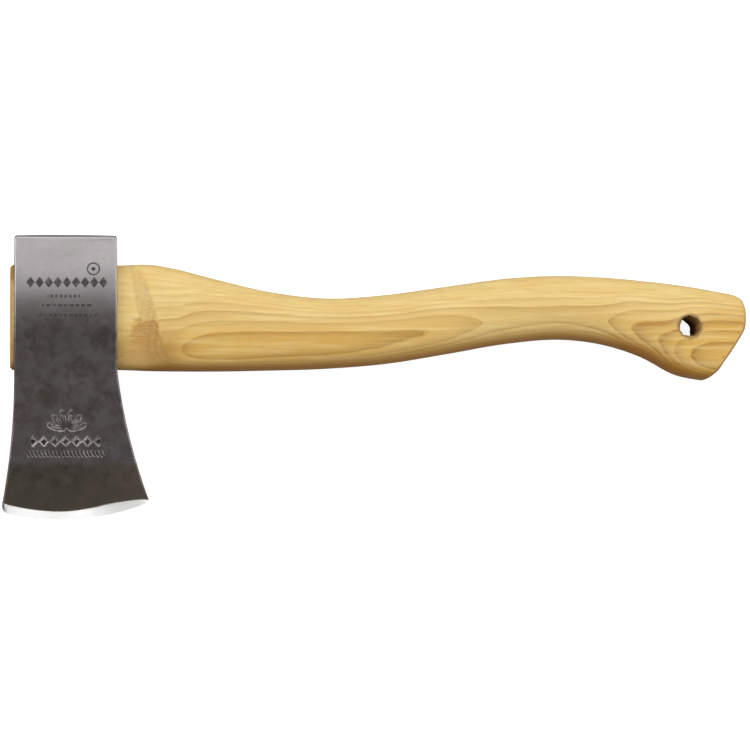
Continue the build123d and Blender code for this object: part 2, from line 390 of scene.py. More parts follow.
def haft_tree():
    tree, given, result = new_tree("haft_sweep", {
        "Points Around": ("NodeSocketInt", POINTS_AROUND),
        "Length": ("NodeSocketFloat", HAFT_LENGTH),
        "Neck Length": ("NodeSocketFloat", NECK_LENGTH),
        "Neck Half Thickness": ("NodeSocketFloat", NECK_HALF),
        "Unevenness": ("NodeSocketFloat", HAND_UNEVENNESS),
        "Wood": ("NodeSocketMaterial", None),
    })
    length = Wire(tree, given.outputs["Length"])
    rail = add_node(tree, "GeometryNodeMeshToCurve", Mesh=given.outputs["Geometry"]).outputs[0]
    position = tree.nodes.new("GeometryNodeInputPosition").outputs[0]
    place = add_node(tree, "ShaderNodeSeparateXYZ", Vector=position)
    rail, station = captured(tree, rail, place.outputs[0])
    rail, inset = captured(tree, rail, place.outputs[1])
    circle = add_node(tree, "GeometryNodeCurvePrimitiveCircle", Resolution=given.outputs["Points Around"])
    around = tree.nodes.new("GeometryNodeSplineParameter").outputs["Factor"]
    ring, around = captured(tree, circle.outputs[0], around)
    sweep = add_node(tree, "GeometryNodeCurveToMesh", Curve=rail, Profile_Curve=ring)

    up = (around * 2 * pi).math("COSINE")
    out = (around * 2 * pi).math("SINE")
    back_line, belly_line, thickness_line = lines_of_the_haft()

    def section(x):
        """The section's height at this point, and its half thickness and squareness."""
        in_eye = x.below(0.0)
        in_grip = 1 - in_eye
        growth = -x * EYE_GROWTH
        back = drawn_curve(tree, x, back_line) * in_grip + (growth + EYE_LENGTH) * 0.5 * in_eye
        belly = drawn_curve(tree, x, belly_line) * in_grip + (growth + EYE_LENGTH) * 0.5 * in_eye
        grip_squareness = drawn_curve(tree, x, [(d * MM, power) for d, power in FULLNESS])
        squareness = grip_squareness * in_grip + in_eye * EYE_POWER
        height = oval_part(up, squareness)
        y = (back - belly) * 0.5 + ((back + belly) * 0.5 - inset).high(0.0) * height
        grip_half = drawn_curve(tree, x, thickness_line) * 0.5 * (1 - height * BELLY_FULLNESS)
        half = grip_half * in_grip + (growth + EYE_WIDTH) * 0.5 * in_eye
        closing = inset / (in_grip * KNOB_HALF + in_eye * TENON_HALF)
        return y, half * (1 - closing), squareness

    knob_start = length - KNOB_REGION
    lean = drawn_curve(tree, station, [(d * MM, share) for d, share in LEAN_SHARE]) * SHOULDER_LEAN
    into_knob = ((station - knob_start) / KNOB_REGION).high(0.0)
    x = station
    for _ in range(3):
        y = section(x)[0]
        setback = drawn_curve(tree, y, in_metres(END_SETBACK))
        x = station - y * lean - setback * into_knob
    y, half, squareness = section(x)
    shoulder = ((x + y * SHOULDER_LEAN) - Wire(tree, given.outputs["Neck Length"])).high(0.0) * SHOULDER_SLOPE
    limit = shoulder + Wire(tree, given.outputs["Neck Half Thickness"])
    side = oval_part(out, squareness)
    z = half.math("SMOOTH_MIN", limit, NECK_BLEND) * side

    corner = add_node(tree, "ShaderNodeCombineXYZ", X=x + HAFT_START, Y=y + EYE.y, Z=z + EYE.z)
    shaped = add_node(tree, "GeometryNodeSetPosition", Geometry=sweep.outputs[0], Position=corner.outputs[0])
    closed = add_node(tree, "GeometryNodeMergeByDistance", Geometry=shaped.outputs[0], Distance=SEAM)
    wobble = add_node(tree, "ShaderNodeTexNoise", Scale=26.0, Detail=1.0)
    grip_only = (station / (4 * MM)).low(1.0).high(0.0)
    amount = (Wire(tree, wobble.outputs[0]) - 0.5) * 2 * Wire(tree, given.outputs["Unevenness"]) * grip_only
    push = add_node(tree, "ShaderNodeVectorMath", {"operation": "SCALE"}, Scale=amount)
    tree.links.new(tree.nodes.new("GeometryNodeInputNormal").outputs[0], push.inputs[0])
    uneven = add_node(tree, "GeometryNodeSetPosition", Geometry=closed.outputs[0], Offset=push.outputs[0])
    smooth = add_node(tree, "GeometryNodeSetShadeSmooth", Geometry=uneven.outputs[0])
    real = add_node(tree, "GeometryNodeRealizeInstances", Geometry=smooth.outputs[0])
    wood = add_node(tree, "GeometryNodeSetMaterial", Geometry=real.outputs[0], Material=given.outputs["Wood"])
    tree.links.new(wood.outputs[0], result.inputs[0])
    return tree


# %% [markdown]
# ### From a node tree to a plain mesh
# The tree's result lives in a modifier, and so does a cut. A finished piece should be a plain mesh instead,
# with one skin, no gaps, and every face pointing outwards, so that it can be weighed, printed or baked. These
# helpers run a tree or a cut, keep the result, and measure it.

# %% Tools for finished meshes
def new_object(name, mesh):
    made = bpy.data.objects.new(name, mesh)
    bpy.context.scene.collection.objects.link(made)
    return made


def plain_mesh(made):
    """Turns an object with modifiers into a plain mesh, with the modifiers removed."""
    result = bpy.data.meshes.new_from_object(made.evaluated_get(bpy.context.evaluated_depsgraph_get()))
    made.modifiers.clear()
    old, made.data = made.data, result
    result.name = made.name
    bpy.data.meshes.remove(old)


def run_tree(made, tree, **values):
    """Runs a node tree on an object and keeps the result. An input's name has _ for each space."""
    modifier = made.modifiers.new(tree.name, "NODES")
    modifier.node_group = tree
    items = tree.interface.items_tree
    identifiers = {item.name: item.identifier for item in items if item.in_out == "INPUT"}
    for name, value in values.items():
        modifier[identifiers[name.replace("_", " ")]] = value
    plain_mesh(made)


def cleaned(made):
    """Closes seams, points every face outwards and prints what the mesh measures."""
    mesh = bmesh.new()
    mesh.from_mesh(made.data)
    bmesh.ops.remove_doubles(mesh, verts=mesh.verts, dist=SEAM)
    bmesh.ops.recalc_face_normals(mesh, faces=mesh.faces)
    open_edges = sum(not edge.is_manifold for edge in mesh.edges)
    volume = mesh.calc_volume()
    mesh.to_mesh(made.data)
    mesh.free()
    sizes = (len(made.data.polygons), "faces,", open_edges, "open edges,", round(volume * 1e6, 1), "cm3")
    print(made.name, *sizes)


def carve(made, *cutters):
    """Cuts the cutters out of a mesh, then removes them."""
    for cutter in cutters:
        modifier = made.modifiers.new("carve", "BOOLEAN")
        modifier.object = cutter
        modifier.operation = "DIFFERENCE"
        modifier.solver = "EXACT"
    plain_mesh(made)
    for cutter in cutters:
        bpy.data.objects.remove(cutter)


# %% Sweep the haft
def chain(name, points):
    mesh = bpy.data.meshes.new(name)
    mesh.from_pydata([(x, y, 0) for x, y in points], [(i, i + 1) for i in range(len(points) - 1)], [])
    return new_object(name, mesh)


haft_wood = bpy.data.materials.new("haft_wood")
haft = chain("haft", haft_rail())
run_tree(haft, haft_tree(), Points_Around=POINTS_AROUND, Wood=haft_wood)
cleaned(haft)

# %% [markdown]
# ### Cuts in the haft
# A saw cut takes the wooden wedge, a round groove takes the steel ring, and a hole goes through the knob.
# Each is cut with a tool of its own shape, as in the workshop. The tools are lathe shapes and one flat
# taper. The hole's mouths are rounded and a little ragged, because wood tears where the drill comes out.

# %% Closed shapes from rings of points
def ring_faces(rings, around, joined):
    """Faces between neighbouring rings, with around points in each. joined is how many gaps they close."""
    corners = [(r * around, (r + 1) % rings * around, k, (k + 1) % around)
               for r in range(joined) for k in range(around)]
    return [(near + k, near + after, far + after, far + k) for near, far, k, after in corners]


def closed_shape(name, places, faces):
    mesh = bpy.data.meshes.new(name)
    mesh.from_pydata(places, [], faces)
    made = new_object(name, mesh)
    cleaned(made)
    return made


def turned(name, profile, turn_point, steps=72):
    """A closed shape from a ring profile. turn_point(distance along, radius, turn) gives each point."""
    turns = [2 * pi * k / steps for k in range(steps)]
    points = [turn_point(along, radius, turn) for along, radius in profile for turn in turns]
    places = [tuple(Vector(point) * MM + EYE) for point in points]
    return closed_shape(name, places, ring_faces(len(profile), steps, len(profile)))


def lofted(name, rings):
    """A closed shape through rings of places, with a flat face at each end."""
    around = len(rings[0])
    faces = ring_faces(len(rings), around, len(rings) - 1)
    faces += [tuple(range(around)), tuple(range((len(rings) - 1) * around, len(rings) * around))]
    return closed_shape(name, [place for ring in rings for place in ring], faces)


# %% The saw cut and the ring's groove, in mm about the eye
TENON_FACE = -(HEAD_WIDTH / 2 + TENON_PROUD) / MM
START_OUTSIDE = 2  # both cutters start this far outside the tenon's face
WEDGE_LENGTH = 38.0
WEDGE_HEAD_HALF = 2.6
WEDGE_TIP_HALF = 0.8
SAW_CUT_RELIEF = 5.0
SAW_CUT_HALF = 40  # more than half the tenon's depth
RING_RADIUS = 4.8
RING_WALL = 1.1
RING_LENGTH = 15.4


def saw_cut():
    """A flat taper from outside the tenon to past the wedge's tip."""
    taper = (WEDGE_HEAD_HALF - WEDGE_TIP_HALF) / WEDGE_LENGTH
    plan = [(-START_OUTSIDE, WEDGE_HEAD_HALF + START_OUTSIDE * taper), (WEDGE_LENGTH, WEDGE_TIP_HALF),
            (WEDGE_LENGTH + SAW_CUT_RELIEF, WEDGE_TIP_HALF)]
    plan += [(x, -z) for x, z in reversed(plan)]
    return lofted("saw_cut", [[tuple(Vector((TENON_FACE + x, y, z)) * MM + EYE) for x, z in plan]
                              for y in (-SAW_CUT_HALF, SAW_CUT_HALF)])


def round_point(along, radius, turn):
    """A point of a true circle, for a tool that cuts along the eye."""
    return (along, radius * cos(turn), radius * sin(turn))


def ring_groove():
    outer, inner = RING_RADIUS, RING_RADIUS - RING_WALL
    ends = (TENON_FACE - START_OUTSIDE, TENON_FACE + RING_LENGTH)
    profile = ((ends[0], inner), (ends[0], outer), (ends[1], outer), (ends[1], inner))
    return turned("ring_groove", profile, round_point)


# %% The hole through the knob, and all three cuts
HOLE_RADIUS = 5.2
HOLE_FROM_END = 30.0
HOLE_X = (HAFT_LENGTH + HEAD_WIDTH / 2) / MM - HOLE_FROM_END
HOLE_BELOW_AXIS = 5.2
HOLE_SOFTENING = 1.7
HOLE_RAGGED = 0.45  # how ragged its mouths are
WALL_UNEVENNESS = 0.12
MOUTH_START = 7  # from the middle of the knob's thickness
MOUTH_LENGTH = 4
HOLE_FACE = 11.9  # half the knob's thickness
DRILL_HALF = 20  # more than half the knob's thickness
ALMOST_ZERO = 0.0001


def hole_cutter():
    flare = HOLE_RADIUS + HOLE_SOFTENING
    bends = [radians(5 * i) for i in range(19)]
    profile = [(-DRILL_HALF, ALMOST_ZERO), (-DRILL_HALF, flare)]
    for side in (-1, 1):
        rims = [(side * (HOLE_FACE - HOLE_SOFTENING * (1 - sin(bend))),
                 HOLE_RADIUS + HOLE_SOFTENING * (1 - cos(bend))) for bend in bends]
        profile += rims[::side]
    profile += [(DRILL_HALF, flare), (DRILL_HALF, ALMOST_ZERO)]

    def torn(along, radius, turn):
        mouth = min(max((abs(along) - MOUTH_START) / MOUTH_LENGTH, 0), 1) * (radius > 1)
        uneven = noise.noise(Vector((cos(turn) * 2.2, sin(turn) * 2.2, along * 0.35)))
        wide = radius + uneven * (WALL_UNEVENNESS + HOLE_RAGGED * 2 * mouth) * (radius > 1)
        return (HOLE_X + wide * cos(turn), -HOLE_BELOW_AXIS + wide * sin(turn), along)

    return turned("hole_cutter", profile, torn)


carve(haft, saw_cut(), ring_groove(), hole_cutter())
cleaned(haft)

# %% [markdown]
# ## Head: one forging
# The head is a block of steel, full beside the eye, hollow below it and ground flat towards the edge. Every
# face of it is a gentle curve, so it isn't carved from a cube. Each cheek is a grid of points. Its columns
# run from the poll to the edge and spread with the flaring sides, and one of its rows lies exactly on the
# line where the honed bevel starts, which keeps that line crisp.

# %% The head's outline, in mm about the eye
POLL_HEIGHT = (HEAD_HIGH.y - EYE.y) / MM
EDGE_DEPTH = (EYE.y - HEAD_LOW.y) / MM
HEAD_HALF = HEAD_WIDTH / 2 / MM
TOE_WAIST = 29.0
TOE_FLARE_RADIUS = 350.0
HEEL_WAIST = 27.5
HEEL_FLARE_RADIUS = 290.0
HEEL_FLARE_ANGLE = radians(7.2)
EDGE_RADIUS = 125.0
EDGE_SHIFT = 2.9  # the deepest point of the edge lies this far towards the toe
TOE_CORNER = 4.0
HEEL_CORNER = 1.2
POLL_CORNER = 2.0
POLL_CROWN = 0.5
SIDE_ROUNDING = 1.0


def rounding(distance, radius):
    """How far a rounded edge falls back at a distance inside it."""
    inside = np.clip(radius - distance, 0, radius)
    return radius - np.sqrt(radius**2 - inside**2)


def toe_side(y):
    drop = np.clip(-TOE_WAIST - y, 0, None)
    return -HEAD_HALF - TOE_FLARE_RADIUS + np.sqrt(TOE_FLARE_RADIUS**2 - drop**2)


def heel_side(y):
    drop = np.clip(-HEEL_WAIST - y, 0, None) + HEEL_FLARE_RADIUS * sin(HEEL_FLARE_ANGLE)
    reach = HEEL_FLARE_RADIUS * cos(HEEL_FLARE_ANGLE)
    return HEAD_HALF + reach - np.sqrt(HEEL_FLARE_RADIUS**2 - drop**2)


def edge_line(x):
    """The height of the cutting edge, before its corners are rounded."""
    return EDGE_RADIUS - EDGE_DEPTH - np.sqrt(EDGE_RADIUS**2 - (x + EDGE_SHIFT) ** 2)


print("head", round(POLL_HEIGHT + EDGE_DEPTH, 1), "mm from poll to edge")

# %% [markdown]
# ### The head's thickness
# The forging is thickest beside the eye, where it holds the haft, and thins to the blade. Below a line it is
# ground flat on both sides, and the stone hones a second, steeper bevel along the edge. No two honed bevels
# are alike, because they are made by hand: this one is widest towards the heel and narrows to the corner.

# %% Thickness of the cheeks and the bevel, in mm
GRIND_DEPTH = 72.5
# (height above the eye axis, half thickness), from the poll to where the ground faces start
CHEEK_LINE = (
    (42, 10.3), (30, 11.4), (18, 12.4), (9, 12.78), (0, 12.72),
    (-12, 12.0), (-26, 9.9), (-44, 6.9), (-60, 4.9), (-72.5, 3.8),
)
BLADE_HALF = 0.9  # half thickness where the ground faces would end, at the edge
HEEL_THINNING = 0.8  # the share of that thickness that is gone at the heel
# (place across the head, -1 at the toe and 1 at the heel, width of the honed bevel)
BEVEL_WIDTHS = (
    (-1, 4.4), (-0.6, 3.9), (-0.2, 3.6), (0.2, 4.5), (0.45, 5.0), (0.75, 3.8), (0.92, 2.2), (1, 0.9),
)
LEAST_BEVEL = 0.7  # the bevel is never narrower than this, where a corner of the edge is rounded


def cheek_half(y, across, edge):
    """Half the head's thickness at a height, without the honed bevel, where edge is the height of the cutting
    edge in the same column. The blade thins out towards the heel."""
    towards_heel = np.clip((across + 0.1) / 1.1, 0, 1)
    blade = BLADE_HALF * (1 - HEEL_THINNING * towards_heel**1.5)
    ground = blade + (CHEEK_LINE[-1][1] - blade) * (y - edge) / (-GRIND_DEPTH - edge)
    return np.where(y > -GRIND_DEPTH, smooth_line(y, CHEEK_LINE), ground)


print("head", 2 * max(half for _, half in CHEEK_LINE), "mm thick beside the eye")

# %% [markdown]
# ### Marks on the head
# A forging carries a stamp that is struck into the hot steel. This one is a sprig of leaves over a row of
# lozenges and a rope line, so it says nothing and belongs to nobody. It is real relief: the grid is fine
# enough there for the points themselves to be pressed in.

# %% The stamp's depth
STAMP_DEPTH = 0.3
SPRIG = (0.5, -57.0)
LEAF_LENGTH = 7.4
LEAF_WIDTH = 2.6
LEAF_MIDDLE = 5.4  # how far a leaf's middle is from the foot of the sprig
LEAF_TURNS = range(-75, 76, 30)  # degrees from upright
VEIN = (5, 3)  # how far its middle is from the foot, and its half length
LOZENGE_ROW = (-62.6, 5.4, 17.0)  # height, spacing and half length of the row
ROPE_ROW = (-69.0, 1.9, 19.5)
STRUCK_BLUR = 0.3  # how soft the sides of a struck line are


def stroke(distance, half_width=0.34):
    """1 on a line, falling to 0 beside it."""
    return np.clip((half_width + STRUCK_BLUR - np.abs(distance)) / STRUCK_BLUR, 0, 1)


def within(distance, half):
    """1 inside half on each side of 0, falling to 0 just before its ends."""
    return np.clip((half - np.abs(distance)) / STRUCK_BLUR, 0, 1)


def repeated(x, spacing):
    """The place within the repeat that x falls in, from minus to plus half the spacing."""
    return (x + spacing / 2) % spacing - spacing / 2


def stamp(x, y):
    """How deep the stamp is at each point of the cheek, from 0 to 1."""
    mark = np.zeros_like(x)
    for angle in LEAF_TURNS:
        turn = radians(angle)
        along = (x - SPRIG[0]) * sin(turn) + (y - SPRIG[1]) * cos(turn)
        across = (x - SPRIG[0]) * cos(turn) - (y - SPRIG[1]) * sin(turn)
        leaf = np.hypot((along - LEAF_MIDDLE) / LEAF_LENGTH, across / LEAF_WIDTH) * LEAF_WIDTH
        mark = np.maximum(mark, stroke(leaf - LEAF_WIDTH / 2, 0.2))
        mark = np.maximum(mark, stroke(across, 0.05) * (np.abs(along - VEIN[0]) < VEIN[1]))
    height, spacing, half_length = LOZENGE_ROW
    lozenge = np.abs(repeated(x, spacing)) + np.abs(y - height) * 0.95
    mark = np.maximum(mark, stroke(lozenge - 2.0) * within(x, half_length))
    height, spacing, half_length = ROPE_ROW
    inside = within(x, half_length) * within(y - height, 1.5)
    return np.maximum(mark, stroke(repeated(x + (y - height) * 0.6, spacing), 0.25) * inside)


print("stamp", STAMP_DEPTH, "mm deep,", len(LEAF_TURNS), "leaves")

# %% [markdown]
# ### The cheek's surface
# A forged cheek is never quite true. Broad, shallow hollows from the hammer show as soft waves in the light,
# and they fade out where the grinder has been. Blender's noise gives the same hollows each time it is asked.

# %% One cheek as a grid of points
HAMMERING = 0.11  # how deep the hollows are, in mm
HAMMER_SIZE = 17.0  # how far they are apart
STAMP_TOP = -46.4  # the rows are close together from here
STAMP_FOOT = -73.0  # down to here, and the rows below are shares of the way to the bevel
# Heights at which the head's two sides are read, to find the ends of the edge
TOE_TIP = -99.0
HEEL_TIP = -94.0
EDGE_MIDDLE = -96.0
LOWER_ROWS = 36
HONED_ROWS = 6


def column_places():
    """Shares of the head's width: fine all over, and finer still towards the rounded sides."""
    near_side = [0, 0.0015, 0.004, 0.008, 0.013, 0.019]
    middle = np.linspace(0.028, 0.972, 150)
    return np.array(near_side + list(middle) + [1 - s for s in reversed(near_side)])


def row_places():
    """Heights of the rows from the poll down to the foot of the stamp."""
    poll = POLL_HEIGHT - POLL_CORNER * (1 - np.cos(np.linspace(0, pi / 2, 8)))
    upper = np.arange(POLL_HEIGHT - POLL_CORNER - 0.8, -46.0, -0.9)
    stamped = np.arange(STAMP_TOP, STAMP_FOOT, -0.36)
    return np.concatenate([poll, upper, stamped])


def cheek_points(side):
    """The grid of one cheek, as x, y and z tables. side is 1 for the upper cheek and -1 for the lower."""
    share = column_places()[None, :]
    across = 2 * share - 1
    rows = row_places()[:, None]
    crown = POLL_CROWN * across**2 * np.clip((rows - 15) / (POLL_HEIGHT - 15), 0, 1)
    upper = rows - crown
    edge_x = toe_side(TOE_TIP) + (heel_side(HEEL_TIP) - toe_side(TOE_TIP)) * share
    width = heel_side(EDGE_MIDDLE) - toe_side(EDGE_MIDDLE)
    arc = edge_line(edge_x)
    edge = arc + rounding(share * width, TOE_CORNER) + rounding((1 - share) * width, HEEL_CORNER)
    bevel = np.maximum(arc + smooth_line(across, BEVEL_WIDTHS), edge + LEAST_BEVEL) - edge
    lower_share = np.linspace(0, 1, LOWER_ROWS)[1:, None] ** 0.9
    lower = upper[-1:] + (edge + bevel - upper[-1:]) * lower_share
    honed = edge + bevel * np.linspace(1, 0, HONED_ROWS + 1)[1:, None]
    y = np.vstack([upper, lower, honed])
    poll_inset = rounding(POLL_HEIGHT - y, POLL_CORNER)
    toe, heel = toe_side(y) + poll_inset, heel_side(y) - poll_inset
    x = toe + (heel - toe) * share
    half = cheek_half(y, across, arc)
    half[-len(honed):] = cheek_half(edge + bevel, across, arc) * (honed - edge) / bevel
    side_gap = np.minimum(share, 1 - share) * (heel - toe)
    radius = np.minimum(SIDE_ROUNDING, half * 0.6)
    half = half - rounding(side_gap, radius) - poll_inset
    forged = np.clip((y + GRIND_DEPTH) / 12, 0, 1) * np.clip(side_gap / 3, 0, 1)
    forged = forged * np.clip((POLL_HEIGHT - y) / 3, 0, 1)
    for index in np.ndindex(x.shape):
        if forged[index]:
            place = Vector((x[index], y[index], 40.0 * side)) / HAMMER_SIZE
            half[index] -= HAMMERING * (1 + noise.noise(place)) * forged[index]
    if side > 0:
        half = half - STAMP_DEPTH * stamp(x, y)
    return x, y, half * side


upper_cheek, lower_cheek = cheek_points(1), cheek_points(-1)
print("each cheek has", upper_cheek[0].shape[0], "rows of", upper_cheek[0].shape[1], "points")

# %% [markdown]
# ### Joining the faces
# The two cheeks, the poll and the two sides are separate grids that share their outer rows, so they close
# into one skin when their doubles are merged. At the cutting edge the two cheeks meet and need no face
# between them.

# %% Grids joined into one skin
ACROSS_STEPS = 8


def grid_faces(start, rows, columns):
    """The squares of a grid whose points are numbered row by row from start."""
    first = (start + r * columns + c for r in range(rows - 1) for c in range(columns - 1))
    return [(i, i + 1, i + columns + 1, i + columns) for i in first]


def skin(name, cheeks, strips, materials):
    """One closed mesh from tables of x, y and z in mm about the eye. The cheeks' last rows are honed."""
    points, faces, finishes = [], [], []
    for number, (x, y, z) in enumerate(cheeks + strips):
        rows, columns = x.shape
        faces += grid_faces(len(points), rows, columns)
        honed = HONED_ROWS * (columns - 1) if number < len(cheeks) else 0
        finishes += [0] * ((rows - 1) * (columns - 1) - honed) + [1] * honed
        places = np.stack([x, y, z], axis=-1).reshape(-1, 3) * MM + np.array(EYE)
        points += places.tolist()
    mesh = bpy.data.meshes.new(name)
    mesh.from_pydata(points, [], faces)
    for material in materials:
        mesh.materials.append(material)
    mesh.polygons.foreach_set("material_index", finishes)
    return new_object(name, mesh)


def strip_between(upper, lower):
    """A grid that joins two lines of points."""
    share = np.linspace(0, 1, ACROSS_STEPS + 1)[None, :]
    return tuple(a[:, None] * (1 - share) + b[:, None] * share for a, b in zip(upper, lower))


forged_steel = bpy.data.materials.new("forged_steel")
honed_steel = bpy.data.materials.new("honed_steel")
outer_lines = [
    ([table[:, column] for table in upper_cheek], [table[:, column] for table in lower_cheek])
    for column in (0, -1)
]
outer_lines.append(([table[0] for table in upper_cheek], [table[0] for table in lower_cheek]))
strips = [strip_between(*lines) for lines in outer_lines]
head = skin("head", [upper_cheek, lower_cheek], strips, [forged_steel, honed_steel])
cleaned(head)

# %% [markdown]
# ### The eye
# A smith punches the eye hot and drifts it out to an oval that is wider at the top, so that the wedged tenon
# can't slip back. Here a plug of that same oval is cut out of the solid head. Both mouths have a small
# chamfer: a broad one where the wedges go in, and a fine one where the haft comes out.

# %% Cut the eye
EYE_POINTS = 96
CUT_PAST = 40
TOP_CHAMFER = 0.9
NECK_CHAMFER = 0.2
A_LITTLE = 0.01
# (place along the eye, how much wider the plug is there), in mm
EYE_STATIONS = (
    (-CUT_PAST, TOP_CHAMFER), (-HEAD_HALF - A_LITTLE, TOP_CHAMFER), (-HEAD_HALF + TOP_CHAMFER, 0),
    (HEAD_HALF - NECK_CHAMFER, 0), (HEAD_HALF + A_LITTLE, NECK_CHAMFER), (CUT_PAST, NECK_CHAMFER),
)


def eye_cutter():
    """The eye's oval as a long plug, a little wider at both mouths."""
    turn = np.linspace(0, 2 * pi, EYE_POINTS, endpoint=False)
    up, out = [np.sign(wave) * np.abs(wave) ** (2 / EYE_POWER) for wave in (np.cos(turn), np.sin(turn))]
    rings = []
    for x, widening in EYE_STATIONS:
        growth = EYE_GROWTH * (HEAD_HALF - x) + 2 * widening
        rings.append([(x, (EYE_LENGTH / MM + growth) / 2 * a, (EYE_WIDTH / MM + growth) / 2 * b)
                      for a, b in zip(up, out)])
    return lofted("eye_cutter", (np.array(rings) * MM + np.array(EYE)).tolist())


carve(head, eye_cutter())
cleaned(head)

# %% [markdown]
# ### Soft and sharp edges
# A mesh is made of flat faces, and smooth shading hides them. But a crisp line has to stay crisp: where the
# stone's bevel starts, at the mouths of the eye and of the saw cut. Edges that turn by more than an angle
# are marked sharp. The angle is set for each piece, so that only its real arrises are sharp.

# %% Shade both pieces
def shade(made, angle):
    """Smooth shading, with a crisp edge where two faces meet at more than the angle."""
    made.data.shade_smooth()
    made.data.set_sharp_from_angle(angle=radians(angle))
    print(made.name, sum(edge.use_edge_sharp for edge in made.data.edges), "sharp edges")


shade(haft, 38)
shade(head, 32)

# %% [markdown]
# ## Finishes: tools that they share
# Every pattern is read in millimetres about the eye, so a size in a material is a size on the hatchet.
# Effects that more than one finish needs are node groups, made once: mottling, growth rings and fibres.

# %% Node groups
def new_group(name, inputs, outputs):
    """A shader node group: {input name: value, or None for a vector} and the names of its outputs."""
    tree = bpy.data.node_groups.new(name, "ShaderNodeTree")
    for label, value in inputs.items():
        kind = "NodeSocketVector" if value is None else "NodeSocketFloat"
        socket = tree.interface.new_socket(label, in_out="INPUT", socket_type=kind)
        if value is not None:
            socket.default_value = value
    for label in outputs:
        tree.interface.new_socket(label, in_out="OUTPUT", socket_type="NodeSocketFloat")
    return tree, tree.nodes.new("NodeGroupInput"), tree.nodes.new("NodeGroupOutput")


def place_group(tree, group, **inputs):
    """A node group in a tree, as a dictionary of its outputs as wires."""
    node = add_node(tree, "ShaderNodeGroup", {"node_tree": group}, **inputs)
    return {socket.name: Wire(tree, socket) for socket in node.outputs}


# %% Patterns and colours
def scaled(tree, vector, scale, offset=(0, 0, 0)):
    """A place stretched or squeezed along each axis, and then moved."""
    node = add_node(tree, "ShaderNodeMapping", Vector=vector, Scale=scale, Location=offset)
    return node.outputs[0]


def noise_wire(tree, vector, scale, detail=2.0, roughness=0.5, distortion=0.0):
    node = add_node(tree, "ShaderNodeTexNoise", {"normalize": True}, Vector=vector, Scale=scale,
                    Detail=detail, Roughness=roughness, Distortion=distortion)
    return Wire(tree, node.outputs[0])


def split(tree, vector):
    node = add_node(tree, "ShaderNodeSeparateXYZ", Vector=vector)
    return [Wire(tree, socket) for socket in node.outputs]


def ramp(value, low, high, start=0.0, end=1.0):
    """Changes smoothly from start to end as a wire's value goes from low to high."""
    node = add_node(value.tree, "ShaderNodeMapRange", {"interpolation_type": "SMOOTHSTEP"}, Value=value,
                    From_Min=low, From_Max=high, To_Min=start, To_Max=end)
    return Wire(value.tree, node.outputs[0])


def colour_mix(tree, share, first, second):
    """The first colour with a share of the second mixed in."""
    node = tree.nodes.new("ShaderNodeMix")
    node.data_type = "RGBA"
    plug(tree, node.inputs["Factor"], share)
    for name, colour in (("A", first), ("B", second)):
        slot = next(s for s in node.inputs if s.name == name and s.type == "RGBA")
        plug(tree, slot, (*colour, 1.0) if isinstance(colour, tuple) else colour)
    return next(s for s in node.outputs if s.type == "RGBA")


# %% The start and the end of a material
def start_material(material):
    """Empties a material and returns its tree, its shader and the place in mm about the eye."""
    material.use_nodes = True
    tree = material.node_tree
    tree.nodes.clear()
    shader = tree.nodes.new("ShaderNodeBsdfPrincipled")
    result = tree.nodes.new("ShaderNodeOutputMaterial")
    tree.links.new(shader.outputs[0], result.inputs[0])
    place = tree.nodes.new("ShaderNodeTexCoord").outputs["Object"]
    return tree, shader, scaled(tree, place, (1000, 1000, 1000), tuple(-v / MM for v in EYE))


def raise_bump(tree, shader, height, depth_mm):
    """Feeds a height, counted as depth_mm for 0 to 1, to the shader's normal."""
    bump = add_node(tree, "ShaderNodeBump", Height=height, Distance=depth_mm * MM)
    bump.inputs["Strength"].default_value = 1.0
    tree.links.new(bump.outputs[0], shader.inputs["Normal"])


def count_nodes(label, tree):
    print(label, len(tree.nodes), "nodes")


# %% [markdown]
# ### Mottling
# No worked surface has one colour all over. Oil soaks in unevenly, and blasted steel oxidises in clouds. Two
# layers of noise give this: broad blotches, with enough octaves to have ragged rims, and fine specks. Both
# are masks from 0 to 1, so each finish decides for itself what they tint.

# %% Soft blotches and fine specks
mottling, given, result = new_group("mottling", {"Vector": None, "Blotch Size": 10.0, "Speck Size": 0.7},
                                    ("Blotches", "Specks"))
blotch_scale = 1 / Wire(mottling, given.outputs["Blotch Size"])
speck_scale = 1 / Wire(mottling, given.outputs["Speck Size"])
blotches = noise_wire(mottling, given.outputs["Vector"], blotch_scale, 5.0, 0.6, 0.4)
specks = noise_wire(mottling, given.outputs["Vector"], speck_scale, 3.0, 0.6)
plug(mottling, result.inputs["Blotches"], ramp(blotches, 0.32, 0.68))
plug(mottling, result.inputs["Specks"], ramp(specks, 0.3, 0.7))
count_nodes("mottling", mottling)

# %% [markdown]
# ### Growth rings
# The loops on a haft aren't drawn on it. They are where its surface cuts the tree's growth rings, which are
# nearly flat layers this far from the pith. The pattern is worked out in space: how far a point is from the
# pith, less the gentle wander of the trunk, and counted in ring widths. So the loops close where the haft is
# fullest, nest in the knob, step at the shoulder, and go on correctly round the sides and over the end.

# %% The ring group
RING_WIDTH = 1.07
RING_TILT = radians(7.74)
RING_BEND = 0.0025
FIRST_RING = 9.98
# (distance along the haft from the eye, how far the layers wander there), in mm
TRUNK_WANDER = (
    (-30, 1.6), (20, 1.1), (40, 1.9), (53, 1.95), (64, 1.35), (97, 0.76), (137, 0.3), (167, 0.04),
    (188, -0.32), (206, -0.12), (232, 0.12), (258, 0.12), (275, 0.04), (286, -0.42), (302, -0.46),
    (310, -0.69), (318, -1.17), (347, -1.5),
)
LATE_WOOD_FALL = -2.3  # how fast a ring's dark line fades into the next ring's pale wood

